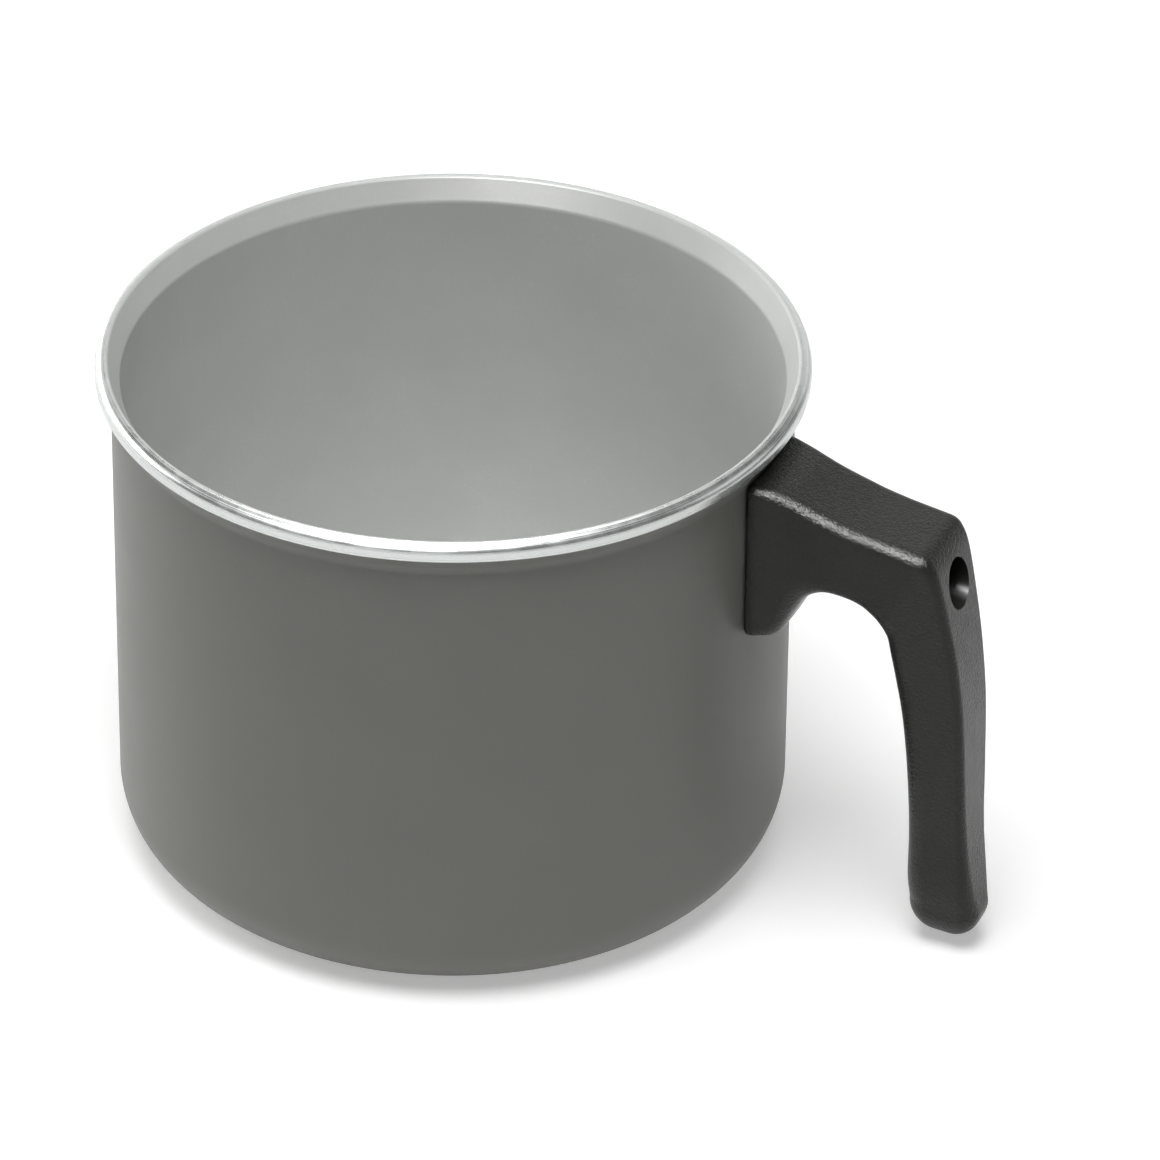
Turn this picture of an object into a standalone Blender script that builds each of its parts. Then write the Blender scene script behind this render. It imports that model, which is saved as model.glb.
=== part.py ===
"""A milk boiler: a straight-walled aluminium pot with a flared pouring rim and a hanging side grip.

The pot stands on Z = 0 round the Z axis, and its handle lies along +X. Lengths are in metres.
"""

import math

import bmesh
import bpy
from mathutils import Matrix, Vector
from mathutils.geometry import interpolate_bezier

# Fits: the gap between pieces that touch, and how far a cutter runs past what it cuts.
TOUCH_GAP = 0.0003
CUT_OVERRUN = 0.0020

# Pot: one sheet pressed to a straight wall, a rounded base corner and a flared lip.
WALL_RADIUS = 0.0701
WALL_THICKNESS = 0.0020
FLOOR_THICKNESS = 0.0030
BASE_CORNER_RADIUS = 0.0149
POT_HEIGHT = 0.1137

# Lip: it bends out of the wall at the flare depths below the rim and ends in a turned edge.
LIP_OVERHANG = 0.0032
OUTER_FLARE_DEPTH = 0.0072
INNER_FLARE_DEPTH = 0.0048
OUTER_BEND_RADIUS = 0.0040
INNER_BEND_RADIUS = 0.0018
RIM_EDGE_HEIGHT = 0.0034
RIM_LAND = 0.0019
RIM_TOP_RADIUS = 0.0014
RIM_LOWER_RADIUS = 0.0011
RIM_INNER_RADIUS = 0.0012

# Handle: a phenolic moulding with a tall root on the wall, a sloping arm and a hanging grip.
HANDLE_DROP = 0.0070
HANDLE_HEIGHT = 0.1045
HANDLE_REACH = 0.0500
HANDLE_WIDTH = 0.0210
OUTER_EDGE_RADIUS = 0.0017
INNER_EDGE_RADIUS = 0.0045
ROOT_EDGE_RADIUS = 0.0009
GRIP_END_LENGTH = 0.0073
# The rounded end's outline: 1 makes it an ellipse, and less makes it fuller.
END_FULLNESS_SHARE = 0.95

# Stations from the wall to the start of the grip's rounded end. Each row has the outer line's
# reach and drop, the inner line's reach and drop, the width, and the radii of the inner and the
# outer edges, all as shares: of the handle's reach, of its height above that end, of its width
# and of those radii.
STATION_SHARES = (
    (0.041, 0.010, 0.041, 0.382, 1.100, 0.25, 1.00),
    (0.126, 0.019, 0.120, 0.375, 1.035, 1.00, 1.40),
    (0.190, 0.030, 0.169, 0.328, 1.008, 1.00, 1.50),
    (0.259, 0.043, 0.224, 0.279, 1.000, 1.20, 1.50),
    (0.339, 0.056, 0.302, 0.252, 1.000, 0.95, 1.50),
    (0.439, 0.070, 0.390, 0.251, 0.990, 1.00, 1.50),
    (0.558, 0.082, 0.468, 0.262, 0.980, 1.00, 1.50),
    (0.679, 0.092, 0.528, 0.284, 0.980, 1.00, 1.50),
    (0.742, 0.099, 0.556, 0.301, 0.980, 1.00, 1.50),
    (0.777, 0.116, 0.569, 0.315, 0.960, 1.00, 1.40),
    (0.808, 0.153, 0.579, 0.332, 0.930, 1.00, 1.30),
    (0.847, 0.241, 0.589, 0.372, 0.870, 1.00, 1.20),
    (0.890, 0.361, 0.609, 0.438, 0.790, 1.00, 1.10),
    (0.921, 0.500, 0.638, 0.532, 0.740, 1.00, 1.00),
    (0.935, 0.655, 0.661, 0.666, 0.690, 1.15, 1.00),
    (0.949, 0.814, 0.674, 0.820, 0.630, 1.15, 1.10),
    (0.976, 0.936, 0.674, 0.936, 0.615, 1.15, 1.70),
    (1.000, 1.005, 0.682, 0.995, 0.550, 1.15, 3.00),
)
# The first stations are bent round the pot, less and less along this many of them.
WRAPPED_STATIONS = 4
# An edge radius is at most this share of what it rounds.
MOST_EDGE_SHARE = 0.45

# Screw hole: it opens in the corner's outer face and rises through the arm towards the wall.
BORE_RADIUS = 0.0050
BORE_TILT = math.radians(12)
BORE_REACH_SHARE = 0.832
BORE_DROP_SHARE = 0.200
CLAMPED_THICKNESS = 0.0060

# Bracket: a curved plate welded to the wall, with a tapped boss on the screw's axis.
PLATE_THICKNESS = 0.0020
PLATE_WIDTH = 0.0140
PLATE_HEIGHT = 0.0160
BOSS_RADIUS = 0.0048
BOSS_LENGTH = 0.0090

# Screw and its split lock washer.
SHANK_RADIUS = 0.0025
THREAD_REACH = 0.0070
THREAD_POINT = 0.0008
HEAD_RADIUS = 0.0044
HEAD_HEIGHT = 0.0033
HEAD_EDGE_RADIUS = 0.0012
RECESS_LENGTH = 0.0046
RECESS_WIDTH = 0.0012
RECESS_DEPTH = 0.0018
WASHER_RADIUS = 0.0043
WASHER_THICKNESS = 0.0012
WASHER_SPLIT = 0.0014

# Facets of the round shapes.
ROUND_STEPS = 80
HOLE_STEPS = 32
CORNER_STEPS = 4
BEND_STEPS = 2
BASE_STEPS = 7
STATION_STEPS = 2
END_STEPS = 6
ROOT_STEPS = 2
SHARP_ANGLE = math.radians(40)

# Places and sizes that follow from those above.
RIM_RADIUS = WALL_RADIUS + LIP_OVERHANG
SEAT_RADIUS = WALL_RADIUS + TOUCH_GAP
PLATE_RADIUS = SEAT_RADIUS + PLATE_THICKNESS
SHANK_HOLE_RADIUS = SHANK_RADIUS + TOUCH_GAP
HANDLE_TOP = POT_HEIGHT - HANDLE_DROP
STATION_DROP = HANDLE_HEIGHT - GRIP_END_LENGTH
BORE_REACH = HANDLE_REACH * BORE_REACH_SHARE
BORE_MOUTH = Vector((WALL_RADIUS + BORE_REACH, 0, HANDLE_TOP - STATION_DROP * BORE_DROP_SHARE))
INWARD = Vector((-math.cos(BORE_TILT), 0, math.sin(BORE_TILT)))


def distance_to_radius(radius):
    """How far inward from the bore's mouth the screw's axis meets a radius of the pot."""
    return (BORE_MOUTH.x - radius) / math.cos(BORE_TILT)


# Distances inward from the bore's mouth along the screw's axis, and where the axis meets the plate.
BOSS_ROOT = distance_to_radius(SEAT_RADIUS)
BOSS_END = distance_to_radius(PLATE_RADIUS) - BOSS_LENGTH
BORE_FLOOR = BOSS_END - TOUCH_GAP - CLAMPED_THICKNESS
WASHER_FACE = BORE_FLOOR - TOUCH_GAP - WASHER_THICKNESS
HEAD_FACE = WASHER_FACE - TOUCH_GAP - HEAD_HEIGHT
PLATE_MIDDLE = (BORE_MOUTH + INWARD * distance_to_radius(PLATE_RADIUS)).z


def principled(name, colour, roughness, metallic):
    """A Principled material of one colour."""
    made = bpy.data.materials.new(name)
    made.use_nodes = True
    shader = made.node_tree.nodes["Principled BSDF"]
    shader.inputs["Base Color"].default_value = (*colour, 1)
    shader.inputs["Roughness"].default_value = roughness
    shader.inputs["Metallic"].default_value = metallic
    return made


def coated_aluminium():
    """The pot's warm grey non-stick coating."""
    return principled("coated_aluminium", (0.13, 0.13, 0.12), 0.5, 0.0)


def phenolic():
    """The handle's black thermosetting plastic."""
    return principled("phenolic", (0.03, 0.03, 0.03), 0.42, 0.0)


def bare_aluminium():
    """The welded bracket's uncoated sheet."""
    return principled("bare_aluminium", (0.75, 0.75, 0.76), 0.35, 1.0)


def zinc_plated_steel():
    """The plating of the screw or its washer."""
    return principled("zinc_plated_steel", (0.62, 0.62, 0.60), 0.3, 1.0)


def add_object(name, shape, finish=None):
    """Turns a bmesh into an object with outward faces and smooth round sides."""
    bmesh.ops.recalc_face_normals(shape, faces=shape.faces)
    mesh = bpy.data.meshes.new(name)
    shape.to_mesh(mesh)
    shape.free()
    mesh.shade_smooth()
    mesh.set_sharp_from_angle(angle=SHARP_ANGLE)
    made = bpy.data.objects.new(name, mesh)
    bpy.context.collection.objects.link(made)
    if finish:
        mesh.materials.append(finish)
    return made


def combine(target, tool, operation):
    """Adds a Boolean to the target, with a tool that is kept out of the picture."""
    tool.hide_render = True
    tool.display_type = "WIRE"
    modifier = target.modifiers.new(tool.name, "BOOLEAN")
    modifier.operation = operation
    modifier.object = tool


def rounded_outline(corners):
    """The points of an open outline whose corners (x, z, radius, steps) become arcs."""
    points = [Vector(corners[0][:2])]
    for before, corner, after in zip(corners, corners[1:], corners[2:]):
        here = Vector(corner[:2])
        radius, steps = corner[2:]
        if not radius:
            points.append(here)
            continue
        back = (Vector(before[:2]) - here).normalized()
        ahead = (Vector(after[:2]) - here).normalized()
        half_angle = back.angle(ahead) / 2
        trim = radius / math.tan(half_angle)
        centre = here + (back + ahead).normalized() * (radius / math.sin(half_angle))
        start = here + back * trim - centre
        finish = here + ahead * trim - centre
        turn = start.angle_signed(finish)
        for step in range(steps + 1):
            points.append(centre + Matrix.Rotation(-turn * step / steps, 2) @ start)
    points.append(Vector(corners[-1][:2]))
    return points


def turned(profile, steps):
    """Revolves an (r, z) profile about the Z axis."""
    shape = bmesh.new()
    line = [shape.verts.new((point[0], 0, point[1])) for point in profile]
    edges = [shape.edges.new(pair) for pair in zip(line, line[1:])]
    bmesh.ops.spin(
        shape,
        geom=line + edges,
        cent=(0, 0, 0),
        axis=(0, 0, 1),
        angle=math.tau,
        steps=steps,
    )
    bmesh.ops.remove_doubles(shape, verts=shape.verts, dist=TOUCH_GAP / ROUND_STEPS)
    return shape


def swept_ring(inner_radius, outer_radius, low, high, angle, steps):
    """A rectangular section swept through an angle round the Z axis, centred on +X."""
    shape = bmesh.new()
    corners = (
        (inner_radius, low),
        (outer_radius, low),
        (outer_radius, high),
        (inner_radius, high),
    )
    section = [shape.verts.new((radius, 0, height)) for radius, height in corners]
    start = shape.faces.new(section)
    bmesh.ops.rotate(
        shape, verts=section, cent=(0, 0, 0), matrix=Matrix.Rotation(-angle / 2, 3, "Z")
    )
    bmesh.ops.spin(
        shape, geom=[start], cent=(0, 0, 0), axis=(0, 0, 1), angle=angle, steps=steps
    )
    return shape


def bore_frame(distance):
    """The frame whose +Z looks inward along the screw's axis, at a distance from the mouth."""
    turn = Vector((0, 0, 1)).rotation_difference(INWARD).to_matrix().to_4x4()
    return Matrix.Translation(BORE_MOUTH + INWARD * distance) @ turn


def bore_cylinder(name, radius, start, finish):
    """A cylinder on the screw's axis, between two distances inward from the bore's mouth."""
    shape = bmesh.new()
    bmesh.ops.create_cone(
        shape,
        cap_ends=True,
        segments=HOLE_STEPS,
        radius1=radius,
        radius2=radius,
        depth=finish - start,
    )
    bmesh.ops.transform(shape, matrix=bore_frame((start + finish) / 2), verts=shape.verts)
    return add_object(name, shape)


def recess_box(name, length, width):
    """A box that cuts one arm of the cross recess into the screw's head."""
    shape = bmesh.new()
    bmesh.ops.create_cube(shape, size=1)
    size = Matrix.Diagonal((length, width, RECESS_DEPTH + CUT_OVERRUN, 1))
    frame = bore_frame(HEAD_FACE + (RECESS_DEPTH - CUT_OVERRUN) / 2)
    bmesh.ops.transform(shape, matrix=frame @ size, verts=shape.verts)
    return add_object(name, shape)


def curved_plate(name, inner_radius, outer_radius, width, height, finish=None):
    """A plate bent round the Z axis, centred on +X and on the bracket's middle height."""
    angle = 2 * math.asin(width / 2 / inner_radius)
    low = PLATE_MIDDLE - height / 2
    high = PLATE_MIDDLE + height / 2
    shape = swept_ring(inner_radius, outer_radius, low, high, angle, BASE_STEPS)
    return add_object(name, shape, finish)


def build_pot():
    """The pressed pot body, drawn from the middle of its base over the lip to the middle of its floor."""
    inner_radius = WALL_RADIUS - WALL_THICKNESS
    inner_corner_radius = BASE_CORNER_RADIUS - WALL_THICKNESS
    land_radius = RIM_RADIUS - RIM_LAND
    profile = rounded_outline(
        (
            (0, 0, 0, 0),
            (WALL_RADIUS, 0, BASE_CORNER_RADIUS, BASE_STEPS),
            (WALL_RADIUS, POT_HEIGHT - OUTER_FLARE_DEPTH, OUTER_BEND_RADIUS, BEND_STEPS),
            (RIM_RADIUS, POT_HEIGHT - RIM_EDGE_HEIGHT, RIM_LOWER_RADIUS, BEND_STEPS),
            (RIM_RADIUS, POT_HEIGHT, RIM_TOP_RADIUS, CORNER_STEPS),
            (land_radius, POT_HEIGHT, RIM_INNER_RADIUS, BEND_STEPS),
            (inner_radius, POT_HEIGHT - INNER_FLARE_DEPTH, INNER_BEND_RADIUS, BEND_STEPS),
            (inner_radius, FLOOR_THICKNESS, inner_corner_radius, BASE_STEPS),
            (0, FLOOR_THICKNESS, 0, 0),
        )
    )
    return add_object("pot_body", turned(profile, ROUND_STEPS), coated_aluminium())


def smooth_track(knots):
    """Points on a smooth curve through all the knots."""
    ends = [2 * knots[0] - knots[1], *knots, 2 * knots[-1] - knots[-2]]
    points = []
    for before, start, finish, after in zip(ends, ends[1:], ends[2:], ends[3:]):
        leave = start + (finish - before) / 6
        arrive = finish - (after - start) / 6
        points += interpolate_bezier(start, leave, arrive, finish, STATION_STEPS + 1)[:-1]
    return [*points, knots[-1]]


def handle_stations():
    """The smoothed stations: an outer point, an inner point, and (half width, inner, outer radius)."""
    outer_knots = []
    inner_knots = []
    size_knots = []
    for row in STATION_SHARES:
        outer_reach, outer_drop, inner_reach, inner_drop, width, inner_edge, outer_edge = row
        outer = (WALL_RADIUS + HANDLE_REACH * outer_reach, HANDLE_TOP - STATION_DROP * outer_drop)
        inner = (WALL_RADIUS + HANDLE_REACH * inner_reach, HANDLE_TOP - STATION_DROP * inner_drop)
        outer_knots.append(Vector(outer))
        inner_knots.append(Vector(inner))
        radii = (INNER_EDGE_RADIUS * inner_edge, OUTER_EDGE_RADIUS * outer_edge)
        size_knots.append(Vector((HANDLE_WIDTH * width / 2, *radii)))
    return list(zip(smooth_track(outer_knots), smooth_track(inner_knots), smooth_track(size_knots)))


def handle_section(station, wrap, inset=0):
    """One closed rounded section of the handle, drawn in by inset and bent round the pot by wrap."""
    outer, inner, (half_width, inner_radius, outer_radius) = station
    across = (outer - inner).normalized()
    outer = outer - across * inset
    inner = inner + across * inset
    half_width -= inset
    most = MOST_EDGE_SHARE * min(2 * half_width, (outer - inner).length)
    outer_radius = min(max(outer_radius - inset, TOUCH_GAP), most)
    inner_radius = min(max(inner_radius - inset, TOUCH_GAP), most)
    corners = (
        (outer - across * outer_radius, outer_radius, half_width - outer_radius),
        (inner + across * inner_radius, inner_radius, half_width - inner_radius),
        (inner + across * inner_radius, inner_radius, inner_radius - half_width),
        (outer - across * outer_radius, outer_radius, outer_radius - half_width),
    )
    points = []
    for quarter, (centre, radius, side) in enumerate(corners):
        for step in range(CORNER_STEPS + 1):
            angle = (quarter + step / CORNER_STEPS) * math.pi / 2
            place = centre + across * (radius * math.cos(angle))
            sideways = side + radius * math.sin(angle)
            bent = math.sqrt(place.x**2 - sideways**2)
            points.append(Vector((place.x + (bent - place.x) * wrap, sideways, place.y)))
    return points


def root_sections(stations):
    """Sections that start inside the wall and round the root's edge off at its seat."""
    outer, inner, sizes = stations[0]
    slope = (stations[1][0] - outer) / (stations[1][0].x - outer.x)
    places = [(SEAT_RADIUS - CUT_OVERRUN, ROOT_EDGE_RADIUS)]
    for step in range(ROOT_STEPS + 1):
        angle = math.pi / 2 * step / ROOT_STEPS
        radius = SEAT_RADIUS + ROOT_EDGE_RADIUS * (1 - math.cos(angle))
        places.append((radius, ROOT_EDGE_RADIUS * (1 - math.sin(angle))))
    rings = []
    for radius, inset in places:
        top = outer + slope * (radius - outer.x)
        foot = Vector((radius, inner.y))
        rings.append(handle_section((top, foot, sizes), 1, inset))
    return rings


def end_sections(station, full):
    """Sections that shrink the last full one to the grip's round end, and the end's lowest point."""
    outer, inner, _ = station
    middle = (outer + inner) / 2
    centre = Vector((middle.x, 0, middle.y))
    along = Vector((inner.y - outer.y, 0, outer.x - inner.x)).normalized()
    sink = along * -math.copysign(GRIP_END_LENGTH, along.z)
    rings = []
    for step in range(1, END_STEPS):
        angle = math.pi / 2 * step / END_STEPS
        sunk = centre + sink * math.sin(angle) ** END_FULLNESS_SHARE
        size = math.cos(angle) ** END_FULLNESS_SHARE
        rings.append([sunk + (point - centre) * size for point in full])
    return rings, centre + sink


def handle_form():
    """The handle's outer form, lofted through all its sections."""
    stations = handle_stations()
    rings = root_sections(stations)
    for index, station in enumerate(stations):
        wrap = max(0, 1 - index / (WRAPPED_STATIONS * STATION_STEPS))
        rings.append(handle_section(station, wrap))
    end_rings, pole = end_sections(stations[-1], rings[-1])
    shape = bmesh.new()
    loops = [[shape.verts.new(point) for point in ring] for ring in rings + end_rings]
    for near, far in zip(loops, loops[1:]):
        for index in range(len(near)):
            shape.faces.new((near[index - 1], near[index], far[index], far[index - 1]))
    shape.faces.new(loops[0])
    tip = shape.verts.new(pole)
    for index in range(len(loops[-1])):
        shape.faces.new((loops[-1][index - 1], loops[-1][index], tip))
    return shape


def build_handle():
    """The handle with its seat on the wall, its socket over the bracket and its stepped screw hole."""
    handle = add_object("handle", handle_form(), phenolic())
    quarter_turn = math.pi / 2
    seat = swept_ring(
        SEAT_RADIUS - HANDLE_WIDTH,
        SEAT_RADIUS,
        HANDLE_TOP - HANDLE_HEIGHT,
        HANDLE_TOP + HANDLE_HEIGHT,
        quarter_turn,
        ROUND_STEPS // 4,
    )
    combine(handle, add_object("seat_cutter", seat), "DIFFERENCE")
    socket = curved_plate(
        "socket_cutter",
        SEAT_RADIUS - CUT_OVERRUN,
        PLATE_RADIUS + TOUCH_GAP,
        PLATE_WIDTH + 2 * TOUCH_GAP,
        PLATE_HEIGHT + 2 * TOUCH_GAP,
    )
    combine(handle, socket, "DIFFERENCE")
    holes = (
        ("boss_hole_cutter", BOSS_RADIUS + TOUCH_GAP, BOSS_END - TOUCH_GAP, BOSS_ROOT),
        ("shank_hole_cutter", SHANK_HOLE_RADIUS, BORE_FLOOR - CUT_OVERRUN, BOSS_END),
        ("bore_cutter", BORE_RADIUS, -BORE_RADIUS, BORE_FLOOR),
    )
    for name, radius, start, finish in holes:
        combine(handle, bore_cylinder(name, radius, start, finish), "DIFFERENCE")
    return handle


def build_bracket():
    """The welded bracket: a curved plate and a tapped boss that the screw draws the handle to."""
    bracket = curved_plate(
        "handle_bracket", SEAT_RADIUS, PLATE_RADIUS, PLATE_WIDTH, PLATE_HEIGHT, bare_aluminium()
    )
    inside_plate = distance_to_radius(PLATE_RADIUS - PLATE_THICKNESS / 2)
    boss = bore_cylinder("boss_form", BOSS_RADIUS, BOSS_END, inside_plate)
    combine(bracket, boss, "UNION")
    tapping = bore_cylinder(
        "tapping_cutter", SHANK_HOLE_RADIUS, BOSS_END - CUT_OVERRUN, BOSS_ROOT + CUT_OVERRUN
    )
    combine(bracket, tapping, "DIFFERENCE")
    return bracket


def build_washer():
    """The split lock washer on the bore's floor."""
    angle = math.tau - WASHER_SPLIT / WASHER_RADIUS
    shape = swept_ring(SHANK_HOLE_RADIUS, WASHER_RADIUS, 0, WASHER_THICKNESS, angle, HOLE_STEPS)
    bmesh.ops.transform(shape, matrix=bore_frame(WASHER_FACE), verts=shape.verts)
    return add_object("lock_washer", shape, zinc_plated_steel())


def build_screw():
    """The pan-head screw that draws the handle to the bracket, with its cross recess."""
    tip = BOSS_END + THREAD_REACH - HEAD_FACE
    profile = rounded_outline(
        (
            (0, 0, 0, 0),
            (HEAD_RADIUS, 0, HEAD_EDGE_RADIUS, CORNER_STEPS),
            (HEAD_RADIUS, HEAD_HEIGHT, 0, 0),
            (SHANK_RADIUS, HEAD_HEIGHT, 0, 0),
            (SHANK_RADIUS, tip - THREAD_POINT, 0, 0),
            (SHANK_RADIUS - THREAD_POINT, tip, 0, 0),
            (0, tip, 0, 0),
        )
    )
    shape = turned(profile, HOLE_STEPS)
    bmesh.ops.transform(shape, matrix=bore_frame(HEAD_FACE), verts=shape.verts)
    screw = add_object("handle_screw", shape, zinc_plated_steel())
    combine(screw, recess_box("recess_cutter_1", RECESS_LENGTH, RECESS_WIDTH), "DIFFERENCE")
    combine(screw, recess_box("recess_cutter_2", RECESS_WIDTH, RECESS_LENGTH), "DIFFERENCE")
    return screw


def main():
    """Clears the scene and builds every piece."""
    for leftover in list(bpy.data.objects):
        bpy.data.objects.remove(leftover)
    build_pot()
    build_bracket()
    build_handle()
    build_washer()
    build_screw()


main()
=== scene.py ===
"""The looks of a milk boiler: a coated aluminium pot with a turned edge, and a grained side grip.

The pot stands on Z = 0 round the Z axis and its handle lies along +X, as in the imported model.
Lengths are in metres.
"""

import logging
import math
from collections.abc import Callable, Sequence
from dataclasses import dataclass, replace
from enum import Enum

import bmesh
import bpy
from mathutils import Matrix, Vector
from mathutils.geometry import interpolate_bezier


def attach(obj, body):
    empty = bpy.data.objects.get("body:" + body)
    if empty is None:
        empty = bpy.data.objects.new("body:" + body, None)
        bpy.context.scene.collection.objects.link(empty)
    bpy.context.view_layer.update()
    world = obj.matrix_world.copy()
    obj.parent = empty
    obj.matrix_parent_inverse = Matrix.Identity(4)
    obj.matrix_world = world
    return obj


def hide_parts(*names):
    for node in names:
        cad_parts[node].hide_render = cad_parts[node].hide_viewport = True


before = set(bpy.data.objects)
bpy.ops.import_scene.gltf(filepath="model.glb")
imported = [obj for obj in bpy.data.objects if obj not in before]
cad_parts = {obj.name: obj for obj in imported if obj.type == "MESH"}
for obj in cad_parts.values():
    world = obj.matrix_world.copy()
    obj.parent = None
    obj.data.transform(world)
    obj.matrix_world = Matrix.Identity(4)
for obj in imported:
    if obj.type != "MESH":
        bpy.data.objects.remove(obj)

LOG = logging.getLogger("milk_boiler")

Colour = tuple[float, float, float]
Socket = bpy.types.NodeSocket
Input = float | Sequence[float] | Socket
Material = bpy.types.Material
Shaded = Material | bpy.types.World
Edge = bmesh.types.BMEdge
Face = bmesh.types.BMFace

# The gap between pieces that touch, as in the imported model, and how far a cutter runs past a face.
TOUCH_GAP = 0.0003
CUT_OVERRUN = 0.0020

# How close two points may lie, and how close they are merged.
SAME_PLACE = 0.00001
MERGE_DISTANCE = SAME_PLACE / 10

ORIGIN = (0, 0, 0)

# Edges sharper than this stay sharp in the shading.
SHARP_ANGLE = math.radians(35)

# Nearly all of a noise pattern lies between these values.
NOISE_LOW = 0.3
NOISE_HIGH = 0.7


class Slot(Enum):
    """The record's material slots of the pieces that are made here."""

    COATED_ALUMINIUM = "coated_aluminium"
    PHENOLIC = "phenolic"


class Part(Enum):
    """What can be picked in a mesh: the mode's name and where the mesh keeps such parts."""

    EDGE = "edges"
    FACE = "faces"


class Axis(Enum):
    """The names of the axes, as the turn operator wants them."""

    ALONG = "X"
    ACROSS = "Y"
    UPWARD = "Z"


def shaded(colour: Colour, share: float) -> Colour:
    """The colour, made lighter or darker by a share."""
    return tuple(channel * share for channel in colour)


class Graph:
    """The node tree of one material or world, with a short call for each kind of node."""

    def __init__(self, owner: Shaded, shader: str = "Principled BSDF") -> None:
        """Opens the node tree and finds its shader.

        Args:
            owner: The material or world.
            shader: The name of its shader node.
        """
        self.owner = owner
        owner.use_nodes = True
        self.tree = owner.node_tree
        self.shader = self.tree.nodes[shader]

    def add(self, kind: str, inputs: dict[str | int, Input], **settings: object) -> bpy.types.Node:
        """Adds a node, sets its fields and fills or links its inputs.

        Args:
            kind: The node's Blender type.
            inputs: A value or a socket for each input, by its name or number.
            **settings: The node's own fields.

        Returns:
            The new node.
        """
        made = self.tree.nodes.new(kind)
        for field, value in settings.items():
            setattr(made, field, value)
        for key, value in inputs.items():
            self.fill(made.inputs[key], value)
        return made

    def fill(self, socket: Socket, value: Input) -> None:
        """Links a socket to another one, or sets its own value.

        Args:
            socket: The socket.
            value: The other socket, or the value.
        """
        if isinstance(value, Socket):
            self.tree.links.new(value, socket)
        else:
            socket.default_value = value

    def place(self) -> Socket:
        """The point on the object, in metres."""
        return self.add("ShaderNodeTexCoord", {}).outputs["Object"]

    def noise(self, where: Socket, size: float, detail: float = 2.0, rough: float = 0.5) -> Socket:
        """A noise pattern with blots of a real width, finer layers on it and their strength."""
        inputs = {"Vector": where, "Scale": 1 / size, "Detail": detail, "Roughness": rough}
        return self.add("ShaderNodeTexNoise", inputs).outputs["Fac"]

    def cells(self, where: Socket, size: float) -> Socket:
        """The distance to the nearest cell's middle, in cell widths, for a pebbled grain."""
        inputs = {"Vector": where, "Scale": 1 / size}
        return self.add("ShaderNodeTexVoronoi", inputs).outputs["Distance"]

    def spread(
        self,
        value: Socket,
        low: float,
        high: float,
        start: float = NOISE_LOW,
        end: float = NOISE_HIGH,
    ) -> Socket:
        """Maps a pattern from its range, start to end, to another one, low to high."""
        inputs = {"Value": value, "From Min": start, "From Max": end, "To Min": low, "To Max": high}
        return self.add("ShaderNodeMapRange", inputs).outputs["Result"]

    def stray(self, value: Socket, middle: float, reach: float) -> Socket:
        """Maps a noise pattern to values that stray from a middle one, this far either way."""
        return self.spread(value, middle - reach, middle + reach)

    def tint(self, value: Socket, stops: Sequence[tuple[float, Colour]]) -> Socket:
        """Maps a pattern to colours.

        Args:
            value: The pattern.
            stops: Places on the pattern's range and their colours.

        Returns:
            The colour.
        """
        ramp = self.add("ShaderNodeValToRGB", {"Fac": value})
        elements = ramp.color_ramp.elements
        middle = 0.5
        while len(elements) < len(stops):
            elements.new(middle)
        for element, (place, colour) in zip(elements, stops):
            element.position = place
            element.color = (*colour, 1)
        return ramp.outputs["Color"]

    def mottle(self, value: Socket, colour: Colour, dark: float, light: float) -> Socket:
        """Varies a colour with a noise pattern, between a dark and a light share of it."""
        stops = ((NOISE_LOW, dark), (NOISE_HIGH, light))
        return self.tint(value, [(at, shaded(colour, share)) for at, share in stops])

    def maths(self, operation: str, first: Input, second: Input) -> Socket:
        """One sum of two values."""
        return self.add("ShaderNodeMath", {0: first, 1: second}, operation=operation).outputs[0]

    def relief(self, height: Socket, depth: float, under: Socket | None = None) -> Socket:
        """Turns a height pattern into a bumpy normal.

        Args:
            height: The pattern, from 0 to 1.
            depth: What 1 means, in metres.
            under: A coarser relief that this one lies on.

        Returns:
            The normal.
        """
        inputs: dict[str | int, Input] = {"Height": height, "Distance": depth, "Strength": 1.0}
        if under is not None:
            inputs["Normal"] = under
        return self.add("ShaderNodeBump", inputs).outputs["Normal"]

    def finish(self, **sockets: Input) -> Shaded:
        """Fills the shader's sockets, whose names are written with underscores.

        Args:
            **sockets: A value or a socket for each input of the shader.

        Returns:
            The finished material or world.
        """
        for name, value in sockets.items():
            label = name.replace("_", " ").title().replace("Ior", "IOR")
            self.fill(self.shader.inputs[label], value)
        return self.owner


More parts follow.
